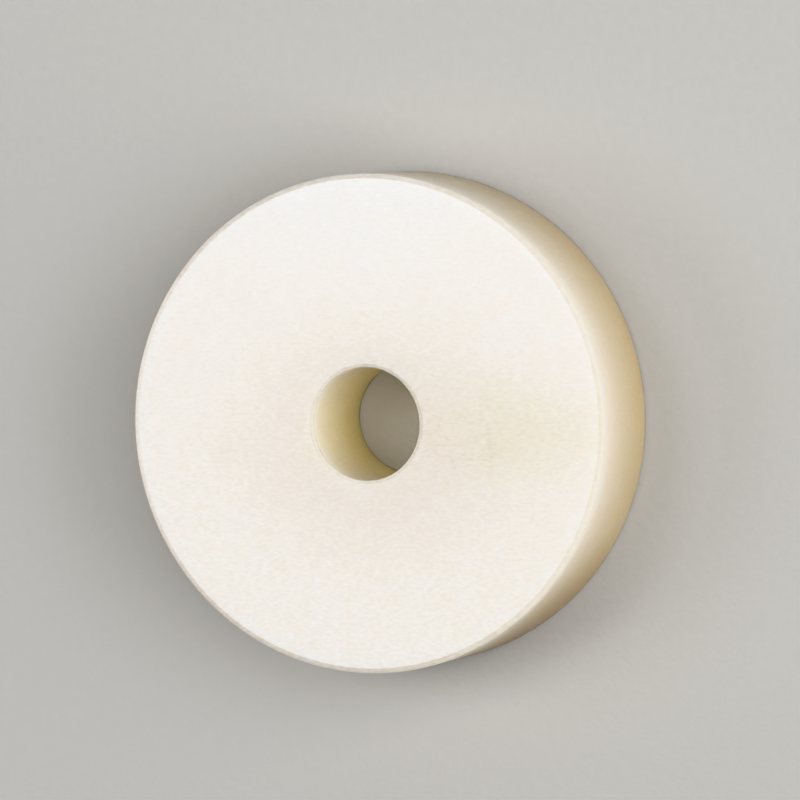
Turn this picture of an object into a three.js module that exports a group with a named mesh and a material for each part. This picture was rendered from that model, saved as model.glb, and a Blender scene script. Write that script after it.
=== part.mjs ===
// A plain jade bi disc: one thick, polished disc of pale nephrite with a round bore through its middle.
// Units are millimetres. +Z is up, and the disc lies on its back on the plane Z = 0, so its axis is +Z
// and the origin is the middle of its underside, on the axis of the bore.
import * as THREE from "three";

// Driving dimensions.
const discDiameter = 55;
const discThickness = 15;
const boreDiameter = 12.5;
const rimRounding = 0.45; // radius of the round-over on the two outer edges
const mouthRounding = 0.35; // radius of the round-over on the two mouths of the bore

// How finely the round surfaces are divided.
const segmentsAround = 96;
const segmentsPerRounding = 4;

const palestJade = new THREE.Color(0xf1ece0);
const polishRoughness = 0.3;

const discRadius = discDiameter / 2;
const boreRadius = boreDiameter / 2;

// A quarter-circle round-over in the section, whose points are (distance from the axis, height).
// It turns anticlockwise about its centre from startAngle.
function roundOver(centreRadius, centreHeight, rounding, startAngle) {
  return Array.from({ length: segmentsPerRounding + 1 }, (_, step) => {
    const angle = startAngle + (step / segmentsPerRounding) * (Math.PI / 2);
    return new THREE.Vector2(
      centreRadius + rounding * Math.cos(angle),
      centreHeight + rounding * Math.sin(angle),
    );
  });
}

// The disc's section is a rectangle with four rounded corners. It is walked anticlockwise: out along the
// underside, up the outer wall, in across the upper face and down the bore, back to where it began.
function discSection() {
  const rimCentre = discRadius - rimRounding;
  const mouthCentre = boreRadius + mouthRounding;
  const outline = [
    ...roundOver(rimCentre, rimRounding, rimRounding, -Math.PI / 2),
    ...roundOver(rimCentre, discThickness - rimRounding, rimRounding, 0),
    ...roundOver(mouthCentre, discThickness - mouthRounding, mouthRounding, Math.PI / 2),
    ...roundOver(mouthCentre, mouthRounding, mouthRounding, Math.PI),
  ];
  return [...outline, outline[0].clone()];
}

// The section is turned about the lathe's own Y axis, which is then stood up along +Z.
function makeDisc() {
  const geometry = new THREE.LatheGeometry(discSection(), segmentsAround);
  geometry.rotateX(Math.PI / 2);
  const polishedJade = new THREE.MeshStandardMaterial({
    name: "white_jade",
    color: palestJade,
    roughness: polishRoughness,
    metalness: 0,
  });
  const disc = new THREE.Mesh(geometry, polishedJade);
  disc.name = "jade_disc";
  return disc;
}

const biDisc = new THREE.Group();
biDisc.name = "bi_disc";
biDisc.add(makeDisc());

export default biDisc;
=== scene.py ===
# %% [markdown]
# # A plain bi disc of white jade
#
# A bi is a flat ring of stone: a round disc with a round hole through its middle. This one is thick, plain
# and new looking, cut from one block of pale nephrite and polished all over. The lesson starts from the
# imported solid, which fixes the disc's size and place, and gives it the finish of the real stone. Everything
# here is in metres, with +Z up, and the disc lies flat on its back.

# %% Load the frame
import math

import bpy
import numpy as np
from mathutils import Matrix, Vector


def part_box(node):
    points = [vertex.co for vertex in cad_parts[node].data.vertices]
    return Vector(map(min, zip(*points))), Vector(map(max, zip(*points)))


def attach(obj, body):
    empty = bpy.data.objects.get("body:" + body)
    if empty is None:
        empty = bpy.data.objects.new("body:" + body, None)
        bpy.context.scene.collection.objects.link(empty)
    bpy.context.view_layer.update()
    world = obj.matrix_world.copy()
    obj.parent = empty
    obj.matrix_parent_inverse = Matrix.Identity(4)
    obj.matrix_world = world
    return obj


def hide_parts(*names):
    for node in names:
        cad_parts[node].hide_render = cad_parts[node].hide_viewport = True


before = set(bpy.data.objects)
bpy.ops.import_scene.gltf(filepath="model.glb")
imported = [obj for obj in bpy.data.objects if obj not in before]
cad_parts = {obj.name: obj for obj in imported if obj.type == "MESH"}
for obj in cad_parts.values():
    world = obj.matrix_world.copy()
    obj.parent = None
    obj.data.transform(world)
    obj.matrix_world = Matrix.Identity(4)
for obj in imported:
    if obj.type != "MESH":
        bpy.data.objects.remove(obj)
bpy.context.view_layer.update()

MM = 0.001
scene = bpy.context.scene
print("nodes:", sorted(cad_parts))

# %% [markdown]
# ## The measures of the disc
#
# The outer radius and the thickness come from the solid's own box, so the looks can never drift away from
# the part. The bore doesn't show in a box, so its radius is a measure of its own, and so are the widths of
# the small rolled edges where a flat face meets the outer wall and the bore.

# %% The measures
disc_low, disc_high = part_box("jade_disc")
DISC_RADIUS = (disc_high.x - disc_low.x) / 2
THICKNESS = disc_high.z - disc_low.z
BORE_RADIUS = 6.25 * MM
RIM_EDGE = 0.60 * MM
MOUTH_EDGE = 0.42 * MM
print(f"disc {2 * DISC_RADIUS / MM:.1f} mm across and {THICKNESS / MM:.1f} mm thick")

# %% [markdown]
# ## The camera
#
# The camera comes first, because every later choice is judged through it. The photograph was taken with a
# long lens from well back, which keeps the far rim nearly as wide as the near one. Four facts place such a
# camera: where the middle of the face falls in the picture, how large the face is there, how far it is
# turned aside and how far it is tipped. The lens then gives the distance. The disc lies down here, so the
# camera looks down on it and is rolled until the picture's up is the disc's +Y.

# %% The camera
SENSOR = 36.0
LENS = 296.0
PICTURE_SIDE = 800
FACE_CENTRE_PX = (365.8, 424.0)
FACE_RADIUS_PX = 250.3
FACE_TURN = math.radians(20.15)
FACE_TIP = math.radians(-2.75)
NEAREST_SEEN, FURTHEST_SEEN = 0.05, 20.0


def rows_of_disc_axes(turn, tip):
    """The disc's X, Y and Z as the camera sees them, with x to the right, y down and z away from it.

    Z is the direction out of the face, turned aside by one angle and tipped by the other. Y is the
    picture's up, laid into the face, and X is at right angles to both."""
    into_face = np.array([math.sin(turn) * math.cos(tip), math.sin(tip), math.cos(turn) * math.cos(tip)])
    out_of_face = -into_face
    picture_up = np.array([0.0, -1.0, 0.0])
    up_the_face = picture_up - out_of_face * picture_up.dot(out_of_face)
    up_the_face /= np.linalg.norm(up_the_face)
    return np.array([np.cross(up_the_face, out_of_face), up_the_face, out_of_face])


def place_camera():
    """A camera that sees the disc's face where, as large and as turned as the picture shows it.

    The distance is the focal length in pixels times the disc's radius, over its radius in the picture. The
    eye lies that far back from the middle of the face, and as far aside and down as the picture says."""
    focal_px = LENS / SENSOR * PICTURE_SIDE
    distance = focal_px * DISC_RADIUS / FACE_RADIUS_PX
    aside, down = (np.array(FACE_CENTRE_PX) - PICTURE_SIDE / 2) * distance / focal_px
    axes = rows_of_disc_axes(FACE_TURN, FACE_TIP)
    eye = np.array([0.0, 0.0, THICKNESS]) - axes @ np.array([aside, down, distance])
    looks = np.column_stack([axes[:, 0], -axes[:, 1], -axes[:, 2], eye])
    data = bpy.data.cameras.new("long_lens")
    data.sensor_width = SENSOR
    data.lens = LENS
    data.clip_start, data.clip_end = NEAREST_SEEN, FURTHEST_SEEN
    camera = bpy.data.objects.new("long_lens", data)
    camera.matrix_world = Matrix([*looks.tolist(), [0, 0, 0, 1]])
    scene.collection.objects.link(camera)
    scene.camera = camera
    return eye


eye = place_camera()
print("the camera stands at", [round(float(c), 3) for c in eye], "metres")

# %% [markdown]
# ## The shape of the stone
#
# A lapidary cuts such a disc on a lathe and then polishes it on felt. Felt gives way, so it wears more off
# the stone beside an edge than in the middle of a face: each face sinks by a hair towards the rim and
# towards the bore. The edge itself is broken by hand into a shallow bevel that rolls over into the wall. The
# bevel at the rim is tilted too far to mirror the lamp that the face mirrors, so it shows as a thin dim
# ring, which the material darkens further with painted shade, and the roll beyond it catches a line of
# light. At the bore the bevel is nearly flat. A turned thing is a section carried round an axis, so the
# section is worked out first, as one closed loop of points in whole arrays, and the lathe is then a single
# product of the loop with the sines and cosines of a full turn.

# %% The section
FACE_STEPS = 40
WALL_STEPS = 26
EDGE_STEPS = 14
RIM_BEVEL = math.radians(16)
MOUTH_BEVEL = math.radians(3)
BEVEL_REACHED = 0.15
SIDE_BEGINS = 0.7
SIDE_TAKES = 0.3
CROWDING = 1.6
MOUTH_SINK = 0.04 * MM
MOUTH_SINK_REACH = 1.3 * MM
RIM_SINK = 0.04 * MM
RIM_SINK_REACH = 0.7 * MM


def ease(count):
    """Steps from 0 to 1 that crowd towards both ends: half of one minus the cosine of an even half turn."""
    return (1 - np.cos(np.linspace(0, np.pi, count))) / 2


def smooth_step(share):
    """0 below 0, 1 above 1, and three squares less two cubes between them."""
    share = np.clip(share, 0, 1)
    return share * share * (3 - 2 * share)


def rolled_edge(width, bevel):
    """How far each point of an edge lies outward from the end of the face, and how far below it.

    The tilt climbs by one smooth step to that of the bevel and by a second one to upright. Its cosine and
    sine, added up along the way, are the run and the drop, scaled until the whole run is the width. A power
    of the even steps crowds the points towards the end, where the edge turns fastest."""
    way = 1 - (1 - np.linspace(0, 1, EDGE_STEPS)) ** CROWDING
    middle = (way[1:] + way[:-1]) / 2
    onto_bevel = smooth_step(middle / BEVEL_REACHED)
    onto_side = smooth_step((middle - SIDE_BEGINS) / SIDE_TAKES)
    tilt = bevel * onto_bevel + (np.pi / 2 - bevel) * onto_side
    run = np.append(0, np.cumsum(np.cos(tilt) * np.diff(way)))
    drop = np.append(0, np.cumsum(np.sin(tilt) * np.diff(way)))
    return run * width / run[-1], drop * width / run[-1]


def face_sink(radius):
    """How far a polished face lies below its middle: one falling exponential from each of its edges."""
    from_mouth = radius - (BORE_RADIUS + MOUTH_EDGE)
    from_rim = (DISC_RADIUS - RIM_EDGE) - radius
    near_mouth = MOUTH_SINK * np.exp(-from_mouth / MOUTH_SINK_REACH)
    near_rim = RIM_SINK * np.exp(-from_rim / RIM_SINK_REACH)
    return near_mouth + near_rim


def disc_section():
    """The section as one closed loop: out along the underside, up the wall, in over the face, down the bore.

    The four stretches are straight but for the sink of the faces, and four rolled edges join them. The
    heights on the underside are measured up from the floor and those on the upper side down from the top."""
    rim, mouth = DISC_RADIUS - RIM_EDGE, BORE_RADIUS + MOUTH_EDGE
    outward = mouth + (rim - mouth) * ease(FACE_STEPS)
    inward = outward[::-1]
    rim_run, rim_drop = rolled_edge(RIM_EDGE, RIM_BEVEL)
    mouth_run, mouth_drop = rolled_edge(MOUTH_EDGE, MOUTH_BEVEL)
    rim_drop, mouth_drop = rim_drop + face_sink(rim), mouth_drop + face_sink(mouth)
    wall = rim_drop[-1] + (THICKNESS - 2 * rim_drop[-1]) * ease(WALL_STEPS)
    bore = mouth_drop[-1] + (THICKNESS - 2 * mouth_drop[-1]) * ease(WALL_STEPS)
    stretches = [
        (outward, face_sink(outward)),
        (rim + rim_run, rim_drop),
        (np.full(WALL_STEPS, DISC_RADIUS), wall),
        (rim + rim_run[::-1], THICKNESS - rim_drop[::-1]),
        (inward, THICKNESS - face_sink(inward)),
        (mouth - mouth_run, THICKNESS - mouth_drop),
        (np.full(WALL_STEPS, BORE_RADIUS), bore[::-1]),
        (mouth - mouth_run[::-1], mouth_drop[::-1]),
    ]
    # Each stretch begins on the point where the one before it ends, so that point is left off.
    radius = np.concatenate([along[1:] for along, _ in stretches])
    height = np.concatenate([up[1:] for _, up in stretches])
    return radius, height


section_radius, section_height = disc_section()
print("the section has", len(section_radius), "points")

# %% [markdown]
# ## Turning the section into a mesh
#
# Carrying the loop round the axis gives a grid that closes on itself both ways, like the skin of a ring,
# so there is no seam and no pole to mend. Each face joins a point to its neighbours along the loop and
# round the axis, and the remainder of a division brings the last row back to the first.

# %% The lathe
TURNS_OF_LATHE = 480


def closed_grid_faces(rows, columns):
    """Quads of a grid that wraps both ways: point, next along the loop, next of both, next round."""
    row, column = np.meshgrid(np.arange(rows), np.arange(columns), indexing="ij")
    next_row, next_column = (row + 1) % rows, (column + 1) % columns
    corners = [row * columns + column, row * columns + next_column,
               next_row * columns + next_column, next_row * columns + column]
    return np.stack(corners, axis=-1).reshape(-1, 4)


def turn_on_lathe(radius, height, turns):
    """Vertices (radius times cosine, radius times sine, height) for every angle and every section point."""
    angle = np.linspace(0, 2 * np.pi, turns, endpoint=False)
    x = np.outer(np.cos(angle), radius)
    y = np.outer(np.sin(angle), radius)
    z = np.broadcast_to(height, x.shape)
    return np.stack([x, y, z], axis=-1).reshape(-1, 3)


def make_mesh(name, vertices, quads):
    """A smooth-shaded mesh from whole arrays of vertices and quads."""
    mesh = bpy.data.meshes.new(name)
    mesh.from_pydata(vertices, [], quads)
    mesh.polygons.foreach_set("use_smooth", np.ones(len(quads), bool))
    mesh.update()
    return mesh


disc_mesh = make_mesh(
    "polished_disc",
    turn_on_lathe(section_radius, section_height, TURNS_OF_LATHE),
    closed_grid_faces(TURNS_OF_LATHE, len(section_radius)),
)
disc = bpy.data.objects.new("polished_disc", disc_mesh)
scene.collection.objects.link(disc)
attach(disc, "root")
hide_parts("jade_disc")
print("the disc has", 2 * len(disc_mesh.polygons), "triangles")

# %% [markdown]
# ## Marking the depth and the edges
#
# White nephrite lets light in. What comes straight back from the face is pale cream, and what has gone
# deeper loses its blue first, so down the wall and down the bore the lit stone looks honey. The scattering
# in the material does a part of that, and a tone that follows the depth below the upper face paints the
# rest into the colour: painted shade for the light that fades on its way down from the lit face. Height
# alone would turn the whole underside to honey too, so the depth is worked out for every point of the mesh
# and kept on it as two attributes, one for the wall and one for the bore. They fade out again under the
# disc, because the underside is ground from the same pale stone as the face. Towards -Y the wall is painted
# browner, as painted shade for the side where less light falls, and there the depth counts for more than
# twice as much. A third attribute marks the rolled edges: their skin is duller, and their colour is
# darkened with painted shade, a dim ring that stands for the sheen a tilted edge doesn't mirror. A fourth
# one says how well the fibres show: best on the flat faces, where the felt ran along them.

# %% The marks
UNDERSIDE_FADE = 2.0 * MM
QUICK_START = 0.05
QUICK_START_OVER = 0.1
EDGE_START = 0.08 * MM
EDGE_REACH = 0.7 * MM
MOUTH_SHARE = 0.7
FIBRE_REACH = 0.5 * MM
FIBRE_ON_SIDES = 0.3
# The wall's painted shade is deeper towards -Y: by this much, beginning and spreading over these shares of
# minus the sine.
SHADE_SIDE_BY = 1.32
SHADE_SIDE_FROM = 0.4
SHADE_SIDE_OVER = 0.6


def depth_down_the_sides(radius, height):
    """Depth below the face as a share of the thickness, with a quick start and an easing end.

    It sets how much painted shade the depth tone lays on. A small smooth step is added for the quick start
    just below the edge, and a fifth of the cube is taken off because some light also comes up from below. On
    the underside, a smooth step of the distance from the nearest side takes the mark off again."""
    share = 1 - height / THICKNESS
    eased = share + QUICK_START * smooth_step(share / QUICK_START_OVER) - share ** 3 / 5
    from_edge = np.minimum(DISC_RADIUS - radius, radius - BORE_RADIUS)
    return eased * (1 - smooth_step(from_edge / UNDERSIDE_FADE))


def edge_roll_and_shade(radius, height):
    """1 just past the rim's end of a flat face and the mouth's share just past its other end.

    Smooth steps bring it up there, and another one takes it down to 0 a little way along the side. The
    mark sets the rougher skin and the painted shade of the rolled edges."""
    past_rim = radius - (DISC_RADIUS - RIM_EDGE)
    past_mouth = BORE_RADIUS + MOUTH_EDGE - radius
    from_face = np.minimum(height, THICKNESS - height)
    rolled = smooth_step(past_rim / EDGE_START) + MOUTH_SHARE * smooth_step(past_mouth / EDGE_START)
    return rolled * (1 - smooth_step(from_face / EDGE_REACH))


def fibre_shows(height):
    """1 on the flat faces, easing down to the share for the sides just below and above them."""
    from_face = np.minimum(height, THICKNESS - height)
    return 1 - (1 - FIBRE_ON_SIDES) * smooth_step(from_face / FIBRE_REACH)


def shaded_side(turns):
    """How much each angle of the lathe belongs to the more shaded side: a smooth step of minus its sine.

    It is 1 straight towards -Y and 0 over more than half of the turn. There the wall's painted shade is
    deeper."""
    angle = np.linspace(0, 2 * np.pi, turns, endpoint=False)
    return smooth_step((-np.sin(angle) - SHADE_SIDE_FROM) / SHADE_SIDE_OVER)


# The depth marks carry painted shade down the sides, and the edge mark the rolled edges' painted shade and
# rougher skin.
depth = depth_down_the_sides(section_radius, section_height)
on_the_wall = section_radius > (DISC_RADIUS + BORE_RADIUS) / 2
all_round = np.ones(TURNS_OF_LATHE)
# The wall's depth mark counts more towards -Y, for its deeper painted shade there.
wall_shade_share = (1 + SHADE_SIDE_BY * shaded_side(TURNS_OF_LATHE)) / (1 + SHADE_SIDE_BY)
MARKS = {
    "shade_depth_down_wall": np.outer(wall_shade_share, depth * on_the_wall),
    "shade_depth_down_bore": np.outer(all_round, depth * ~on_the_wall),
    "edge_roll_and_shade": np.outer(all_round, edge_roll_and_shade(section_radius, section_height)),
    "fibre_shows": np.outer(all_round, fibre_shows(section_height)),
}
for name, values in MARKS.items():
    disc_mesh.attributes.new(name, "FLOAT", "POINT").data.foreach_set("value", values.ravel())
    print(name, f"runs from {values.min():.2f} to {values.max():.2f}")

# %% [markdown]
# ## Building with nodes
#
# A material is a small network of nodes. A few helpers keep the network readable: one makes a node and
# joins or fills its sockets by name, one mixes two colours, one fetches a mark from the mesh, one multiplies
# two masks, one turns a mask into a number between two others, and one starts a material.

# %% Helpers for nodes
def fill(tree, socket, value):
    """Joins a socket to another node's output, or gives it a plain value."""
    if isinstance(value, bpy.types.NodeSocket):
        tree.links.new(value, socket)
    else:
        socket.default_value = value


def add_node(tree, kind, settings=None, **sockets):
    """A new node: its settings first, then a link or a plain value for each socket, with _ for a blank."""
    made = tree.nodes.new(kind)
    for name, value in (settings or {}).items():
        setattr(made, name, value)
    for name, value in sockets.items():
        fill(tree, made.inputs[name.replace("_", " ")], value)
    return made


def mix_colours(tree, factor, first, second, blend="MIX"):
    """The first colour where the factor is 0 and the second, or the blend of both, where it is 1."""
    mixer = add_node(tree, "ShaderNodeMix", {"data_type": "RGBA", "blend_type": blend})
    in_use = [socket for socket in mixer.inputs if socket.enabled]
    for socket, value in zip(in_use, (factor, first, second)):
        fill(tree, socket, value)
    return next(socket for socket in mixer.outputs if socket.enabled)


def mark(tree, name):
    """One of the values that the mesh carries for each of its points."""
    return add_node(tree, "ShaderNodeAttribute", {"attribute_name": name}).outputs["Fac"]


def product(tree, first, second):
    """One mask, or number, times another."""
    times = add_node(tree, "ShaderNodeMath", {"operation": "MULTIPLY"})
    fill(tree, times.inputs[0], first)
    fill(tree, times.inputs[1], second)
    return times.outputs[0]


def between(tree, mask, low, high, step="LINEAR", start=0.0, end=1.0):
    """The low number where the mask is at its start, the high one at its end, and a blend between them."""
    made = add_node(tree, "ShaderNodeMapRange", {"interpolation_type": step}, Value=mask, From_Min=start,
                    From_Max=end, To_Min=low, To_Max=high)
    return made.outputs["Result"]


def new_material(name):
    """A material with its network of nodes and its shader."""
    material = bpy.data.materials.new(name)
    material.use_nodes = True
    return material, material.node_tree, material.node_tree.nodes["Principled BSDF"]


# %% [markdown]
# ## Soft clouds, for stone and for paper
#
# Nothing real is one flat colour. Nephrite is a felt of tiny fibres that lie thicker here and thinner
# there, and the studio paper under the disc is uneven too. Both need a soft, cloudy mask, only at another
# scale, so the mask is a node group, built once. Noise gives a value round one half, and a smooth step
# pulls it apart into clear and cloudy places.

# %% The cloud mask
def cloud_mask_group():
    """Noise of a scale, turned by a smooth step round one half into a mask from 0 to 1."""
    group = bpy.data.node_groups.new("cloud_mask", "ShaderNodeTree")
    group.interface.new_socket("Vector", in_out="INPUT", socket_type="NodeSocketVector")
    for name, usual in (("Scale", 100.0), ("Detail", 2.0), ("Spread", 0.2)):
        group.interface.new_socket(name, in_out="INPUT", socket_type="NodeSocketFloat").default_value = usual
    group.interface.new_socket("Mask", in_out="OUTPUT", socket_type="NodeSocketFloat")
    given = group.nodes.new("NodeGroupInput").outputs
    noise = add_node(group, "ShaderNodeTexNoise", Vector=given["Vector"], Scale=given["Scale"],
                     Detail=given["Detail"])
    low = add_node(group, "ShaderNodeMath", {"operation": "SUBTRACT"})
    high = add_node(group, "ShaderNodeMath", {"operation": "ADD"})
    for edge in (low, high):
        fill(group, edge.inputs[0], 0.5)
        fill(group, edge.inputs[1], given["Spread"])
    mask = between(group, noise.outputs["Fac"], 0.0, 1.0, "SMOOTHSTEP", low.outputs[0], high.outputs[0])
    add_node(group, "NodeGroupOutput", Mask=mask)
    return group


CLOUD_MASK = cloud_mask_group()
print("the cloud mask has", len(CLOUD_MASK.nodes), "nodes")


def clouds(tree, vector, scale, detail, spread):
    """The cloud mask in a material, with its own scale, detail and spread."""
    made = add_node(tree, "ShaderNodeGroup", {"node_tree": CLOUD_MASK}, Vector=vector, Scale=scale,
                    Detail=detail, Spread=spread)
    return made.outputs["Mask"]


# %% [markdown]
# ## The colour of the stone
#
# Seen close, the face is not white but a very pale cream with soft clouds, some a little rosy and some a
# little green, and with fibres in it: flecks no thicker than a hair, drawn out along X. To the right of the
# bore there is a broad stain, barely yellower than the rest, with two thin smoky streaks in it, and to the
# left of the bore a wider one. Round the bore the face is painted darker and creamier than near the rim,
# which is painted shade, and towards +Y it is painted whiter, which is a painted sheen. All of it is worked
# out from Object coordinates. The clouds and fibres run through the block as in real stone, while the three
# broad tones, painted shade, painted sheen and stain, stay close to the upper face. Each effect is weak,
# because the stone should look nearly plain. A cloudy mask is given by three numbers: its scale, its detail
# and how softly it passes from clear to cloudy. An oval is given by its centre and its half sizes.

# %% The tones of the stone
PALE_STONE = (0.945, 0.905, 0.862, 1)
ROSY_CLOUD = (0.947, 0.898, 0.855, 1)
GREEN_CLOUD = (0.935, 0.898, 0.842, 1)
# The middle tone is painted shade round the bore, and the whiter tone a painted sheen towards +Y.
MIDDLE_SHADE_TONE = (0.790, 0.760, 0.722, 1)
PAINTED_SHEEN_TONE = (1.0, 1.02, 1.06, 1)
STAIN_TONE = (0.880, 0.875, 0.785, 1)
SMOKY_TONE = (0.935, 0.930, 0.915, 1)
FLECK_TONE = (0.955, 0.951, 0.942, 1)
FIBRE_TONE = (0.885, 0.881, 0.870, 1)
print(f"fibres keep {np.mean(FIBRE_TONE[:3]):.0%} of the light and flecks {np.mean(FLECK_TONE[:3]):.0%}")

# %% Where the tones lie
ROSY_MASK = (85.0, 3.0, 0.22)
GREEN_MASK = (55.0, 4.0, 0.16)
GREEN_STRENGTH = 0.6
PATCHY_MASK = (240.0, 3.0, 0.25)
PATCHY_LEAST = 0.5
FLECK_MASK = (1100.0, 3.0, 0.14)
FIBRE_MASK = (3200.0, 1.0, 0.2)
FIBRE_STRETCH = (0.45, 1.0, 1.0)
TONE_DEPTH = 0.5 * MM
# The middle oval places that painted shade, and the whiter oval that painted sheen.
MIDDLE_SHADE_OVAL = ((2.0 * MM, -1.5 * MM), (26.0 * MM, 20.0 * MM))
PAINTED_SHEEN_OVAL = ((-2.0 * MM, 26.0 * MM), (30.0 * MM, 16.0 * MM))
STAIN_OVAL = ((18.5 * MM, -0.5 * MM), (15.5 * MM, 10.0 * MM))
# Each streak has a centre, half sizes, a lean and a strength.
SMOKY_STREAKS = (
    ((-16.5 * MM, -2.9 * MM), (2.4 * MM, 5.2 * MM), math.radians(-14), 0.8),
    ((14.5 * MM, -3.2 * MM), (0.7 * MM, 5.0 * MM), math.radians(3), 0.9),
    ((18.9 * MM, 2.0 * MM), (0.5 * MM, 3.0 * MM), math.radians(-4), 0.7),
)
print("smoky streaks:", len(SMOKY_STREAKS))

# %% Clouds, stain and streaks
def oval_mask(tree, place, centre, half_size, lean=0.0, depth=THICKNESS):
    """1 in the middle of an oval on the face, 0 outside it: a smooth step of the distance in half sizes."""
    scaled = add_node(tree, "ShaderNodeMapping", {"vector_type": "TEXTURE"}, Vector=place,
                      Location=(*centre, THICKNESS), Rotation=(0, 0, lean), Scale=(*half_size, depth))
    far = add_node(tree, "ShaderNodeVectorMath", {"operation": "LENGTH"})
    fill(tree, far.inputs[0], scaled.outputs["Vector"])
    return between(tree, far.outputs["Value"], 1.0, 0.0, "SMOOTHSTEP")


def tinted(tree, mask, colour, tone):
    """The colour where the mask is 0, and the colour times the tone where it is 1."""
    return mix_colours(tree, mask, colour, mix_colours(tree, 1.0, colour, tone, "MULTIPLY"))


def stone_colour(tree, place):
    """The clouded stone, then the painted shade round the bore, the painted sheen towards +Y, stain, streaks,
    flecks and fibres.
    """
    colour = mix_colours(tree, clouds(tree, place, *ROSY_MASK), PALE_STONE, ROSY_CLOUD)
    greenish = product(tree, clouds(tree, place, *GREEN_MASK), GREEN_STRENGTH)
    colour = mix_colours(tree, greenish, colour, GREEN_CLOUD)
    # Painted shade round the bore, then a painted sheen towards +Y.
    middle = oval_mask(tree, place, *MIDDLE_SHADE_OVAL, depth=TONE_DEPTH)
    colour = tinted(tree, middle, colour, MIDDLE_SHADE_TONE)
    whiter = oval_mask(tree, place, *PAINTED_SHEEN_OVAL, depth=TONE_DEPTH)
    colour = tinted(tree, whiter, colour, PAINTED_SHEEN_TONE)
    patchy = between(tree, clouds(tree, place, *PATCHY_MASK), PATCHY_LEAST, 1.0)
    stain = oval_mask(tree, place, *STAIN_OVAL, depth=TONE_DEPTH)
    colour = tinted(tree, product(tree, stain, patchy), colour, STAIN_TONE)
    for centre, half_size, lean, strength in SMOKY_STREAKS:
        streak = oval_mask(tree, place, centre, half_size, lean)
        colour = tinted(tree, product(tree, product(tree, streak, patchy), strength), colour, SMOKY_TONE)
    shown = mark(tree, "fibre_shows")
    flecks = product(tree, clouds(tree, place, *FLECK_MASK), shown)
    colour = tinted(tree, flecks, colour, FLECK_TONE)
    stretched = add_node(tree, "ShaderNodeMapping", Vector=place, Scale=FIBRE_STRETCH).outputs["Vector"]
    fibres = product(tree, clouds(tree, stretched, *FIBRE_MASK), shown)
    return tinted(tree, fibres, colour, FIBRE_TONE)


# %% [markdown]
# ## Honey with the depth, painted as shade
#
# The tone for the depth multiplies the stone's colour, and so paints shade into it: the light that comes in
# through the upper face grows dimmer and yellower on its way down the sides. It is a falling exponential for
# each of red, green and blue, which is how a clear but tinted stuff takes light away, and a colour ramp
# holds a few steps of it. On the wall all three colours fall, blue the fastest. In the bore the hole's own
# shade already takes most of the light away, so there the painted tone mostly tints: the blue falls, the
# green a little and the red hardly at all.

# %% The depth tone
# Both fades are painted shade: the light from the lit face growing dimmer and yellower with depth.
WALL_SHADE_FADE = (1.38, 2.00, 3.50)
BORE_SHADE_FADE = (0.09, 0.25, 1.00)
TONE_STOPS = 17


def depth_shade_tone(tree, name, fade):
    """Painted shade: white at no depth, and at each depth the exponential of minus the fade times the depth.
    """
    ramp = add_node(tree, "ShaderNodeValToRGB", Fac=mark(tree, name))
    elements = ramp.color_ramp.elements
    while len(elements) < TONE_STOPS:
        elements.new(1.0)
    for element, place in zip(elements, np.linspace(0, 1, TONE_STOPS)):
        element.position = place
        element.color = (*np.exp(-np.array(fade) * place), 1)
    return ramp.outputs["Color"]


print("left of each colour at full depth, wall:", np.exp(-np.array(WALL_SHADE_FADE)).round(2))
print("left of each colour at full depth, bore:", np.exp(-np.array(BORE_SHADE_FADE)).round(2))

# %% [markdown]
# ## The polish and the stone together
#
# Nephrite never takes a mirror polish. Its fibres pluck a little under the felt, which leaves a fine
# hammered skin, like the peel of an orange, and a soft greasy sheen. Two bumps make that skin, a fine one
# and a broad, very shallow one, and the roughness wanders a little. Light that goes in is scattered over a
# few millimetres, a little further in red than in blue, and that gives the waxy glow at the edges.

# %% White jade
LIGHT_REACH = 3.5 * MM
REACH_BY_COLOUR = (1.0, 0.88, 0.72)
STONE_IOR = 1.6
POLISH_MASK = (300.0, 3.0, 0.25)
FINER_POLISH, COARSER_POLISH = 0.20, 0.25
# The edge tone below is painted shade: it darkens the rolled edges into a dim ring.
EDGE_SHADE_TONE = (0.770, 0.730, 0.670, 1)
EDGE_ROUGHNESS = 0.28
WAVE_SCALE, WAVE_DETAIL = 170.0, 1.0
WAVE_HEIGHT = 0.020 * MM
GRAIN_SCALE, GRAIN_DETAIL = 1700.0, 2.0
GRAIN_STRETCH = (0.6, 1.0, 1.0)
GRAIN_HEIGHT = 0.012 * MM


def polish_normal(tree, place):
    """A broad shallow bump, and on it a fine one whose grains are drawn out along X."""
    waves = add_node(tree, "ShaderNodeTexNoise", Vector=place, Scale=WAVE_SCALE, Detail=WAVE_DETAIL)
    wavy = add_node(tree, "ShaderNodeBump", Height=waves.outputs["Fac"], Distance=WAVE_HEIGHT)
    stretched = add_node(tree, "ShaderNodeMapping", Vector=place, Scale=GRAIN_STRETCH)
    grains = add_node(tree, "ShaderNodeTexNoise", Vector=stretched.outputs["Vector"], Scale=GRAIN_SCALE,
                      Detail=GRAIN_DETAIL)
    grainy = add_node(tree, "ShaderNodeBump", Height=grains.outputs["Fac"], Distance=GRAIN_HEIGHT,
                      Normal=wavy.outputs["Normal"])
    return grainy.outputs["Normal"]


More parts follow.
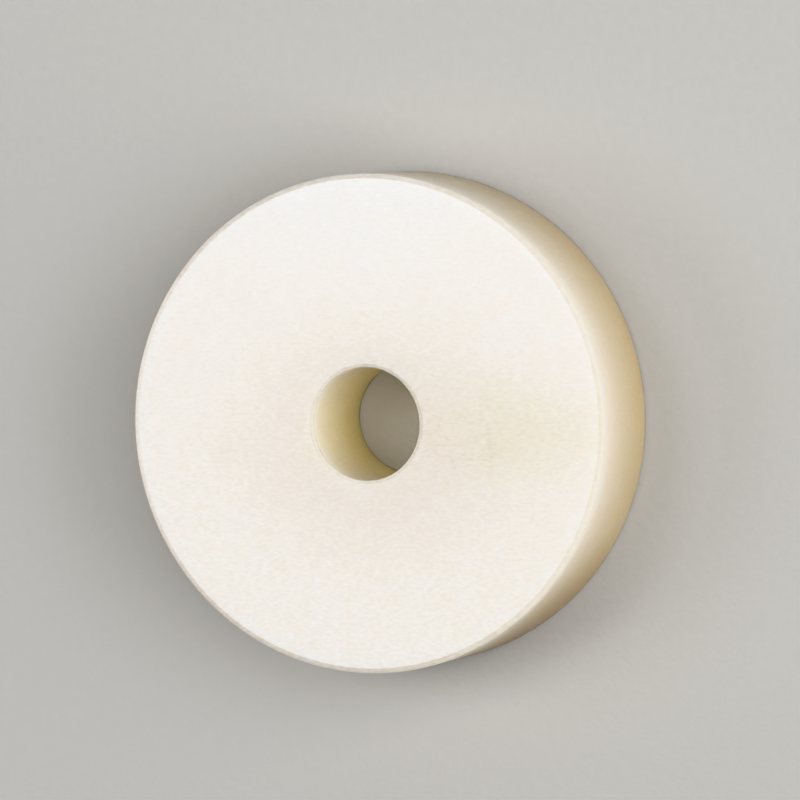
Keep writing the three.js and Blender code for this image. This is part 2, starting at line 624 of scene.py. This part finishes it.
def white_jade():
    """Scattering stone of the stone's colour times the painted shade of both depth tones and of the edges,
    with the felt-polished skin.
    """
    material, tree, shader = new_material("polished_white_jade")
    place = add_node(tree, "ShaderNodeTexCoord").outputs["Object"]
    colour = stone_colour(tree, place)
    # Both depth tones paint shade into the colour.
    for name, fade in (("shade_depth_down_wall", WALL_SHADE_FADE), ("shade_depth_down_bore", BORE_SHADE_FADE)):
        colour = mix_colours(tree, 1.0, colour, depth_shade_tone(tree, name, fade), "MULTIPLY")
    # The rolled edges get painted shade in their colour and a rougher skin.
    edge = mark(tree, "edge_roll_and_shade")
    colour = tinted(tree, edge, colour, EDGE_SHADE_TONE)
    roughness = between(tree, clouds(tree, place, *POLISH_MASK), FINER_POLISH, COARSER_POLISH)
    roughness = between(tree, edge, roughness, EDGE_ROUGHNESS)
    fill(tree, shader.inputs["Base Color"], colour)
    fill(tree, shader.inputs["Roughness"], roughness)
    fill(tree, shader.inputs["Normal"], polish_normal(tree, place))
    fill(tree, shader.inputs["IOR"], STONE_IOR)
    shader.subsurface_method = "RANDOM_WALK"
    fill(tree, shader.inputs["Subsurface Weight"], 1.0)
    fill(tree, shader.inputs["Subsurface Radius"], REACH_BY_COLOUR)
    fill(tree, shader.inputs["Subsurface Scale"], LIGHT_REACH)
    return material


disc_mesh.materials.append(white_jade())
print("the jade has", len(disc_mesh.materials[0].node_tree.nodes), "nodes")

# %% [markdown]
# ## The floor
#
# A sheet of pale grey paper, wide enough to fill the picture. White stone on white paper would vanish, so
# the paper is a good deal darker than the stone. It has broad faint clouds, a short fibre and a dull skin.

# %% The stage
FLOOR_SIDE = 6.0
PALE_PAPER = (0.47, 0.46, 0.44, 1)
DEEPER_PAPER = (0.43, 0.42, 0.40, 1)
PAPER_CLOUD_MASK = (3.0, 2.0, 0.3)
PAPER_FIBRE_MASK = (900.0, 3.0, 0.3)
PAPER_FIBRE_STRENGTH = 0.35
PAPER_FIBRE_HEIGHT = 0.03 * MM
SMOOTHER_PAPER, ROUGHER_PAPER = 0.85, 0.95


def pale_paper():
    """Pale paper: broad clouds and fine fibre in its colour, and the fibre again as a bump."""
    material, tree, shader = new_material("pale_paper")
    place = add_node(tree, "ShaderNodeTexCoord").outputs["Object"]
    fibre = clouds(tree, place, *PAPER_FIBRE_MASK)
    colour = mix_colours(tree, clouds(tree, place, *PAPER_CLOUD_MASK), PALE_PAPER, DEEPER_PAPER)
    colour = mix_colours(tree, product(tree, fibre, PAPER_FIBRE_STRENGTH), colour, DEEPER_PAPER)
    fill(tree, shader.inputs["Base Color"], colour)
    fill(tree, shader.inputs["Roughness"], between(tree, fibre, SMOOTHER_PAPER, ROUGHER_PAPER))
    bump = add_node(tree, "ShaderNodeBump", Height=fibre, Distance=PAPER_FIBRE_HEIGHT)
    fill(tree, shader.inputs["Normal"], bump.outputs["Normal"])
    return material


def make_floor():
    """A square of paper at the height of the underside."""
    half = FLOOR_SIDE / 2
    corners = [(-half, -half, 0), (half, -half, 0), (half, half, 0), (-half, half, 0)]
    mesh = bpy.data.meshes.new("floor")
    mesh.from_pydata(corners, [], [(0, 1, 2, 3)])
    mesh.materials.append(pale_paper())
    floor = bpy.data.objects.new("floor", mesh)
    scene.collection.objects.link(floor)


make_floor()
print("the floor is", FLOOR_SIDE, "metres wide")

# %% [markdown]
# ## The light
#
# Four square softboxes hang round the disc at one distance, each turned towards it, and each does one job.
# A small one stands where the upper half of the face mirrors it towards the camera and gives the face its
# white sheen, and a lower one lights the left. Two are large, so that their light wraps softly: one to the
# right for the wall, and one close to the camera for the face and the bore. The strengths are low, because
# the lamps are near. A lamp's own -Z is the side that shines, so its +Z is turned away from the disc.

# %% Light
SOFTBOX_DISTANCE = 0.8
ROOM_LIGHT = 0.02
# Each softbox has an azimuth and an elevation in degrees, a side in metres and a strength in watts.
SOFTBOXES = {
    "sheen": (150, 72, 0.25, 1.5),
    "left_fill": (180, 45, 0.4, 2.3),
    "right_fill": (2, 20, 0.8, 5.2),
    "front_fill": (5, 62, 0.8, 5.6),
}


def softbox(name, azimuth, elevation, size, watts):
    """A square lamp at an angle round the disc from +X and an angle above the floor, facing the disc.

    Its back is the direction of both angles: the cosine and the sine of the turn, each times the cosine of
    the rise, and the sine of the rise. Its side is +Y crossed with the back."""
    data = bpy.data.lights.new(name, "AREA")
    data.shape = "SQUARE"
    data.size = size
    data.energy = watts
    turn, rise = math.radians(azimuth), math.radians(elevation)
    back = np.array([math.cos(turn) * math.cos(rise), math.sin(turn) * math.cos(rise), math.sin(rise)])
    side = np.cross([0.0, 1.0, 0.0], back)
    side /= np.linalg.norm(side)
    looks = np.column_stack([side, np.cross(back, side), back, back * SOFTBOX_DISTANCE])
    lamp = bpy.data.objects.new(name, data)
    lamp.matrix_world = Matrix([*looks.tolist(), [0, 0, 0, 1]])
    scene.collection.objects.link(lamp)


for name, placing in SOFTBOXES.items():
    softbox(name, *placing)

world = bpy.data.worlds.new("studio")
world.use_nodes = True
background = world.node_tree.nodes["Background"]
background.inputs["Color"].default_value = (1, 1, 1, 1)
background.inputs["Strength"].default_value = ROOM_LIGHT
scene.world = world
scene.view_settings.view_transform = "Khronos PBR Neutral"
all_watts = sum(watts for azimuth, elevation, size, watts in SOFTBOXES.values())
print(f"{len(SOFTBOXES)} softboxes with {all_watts:.1f} watts in all")
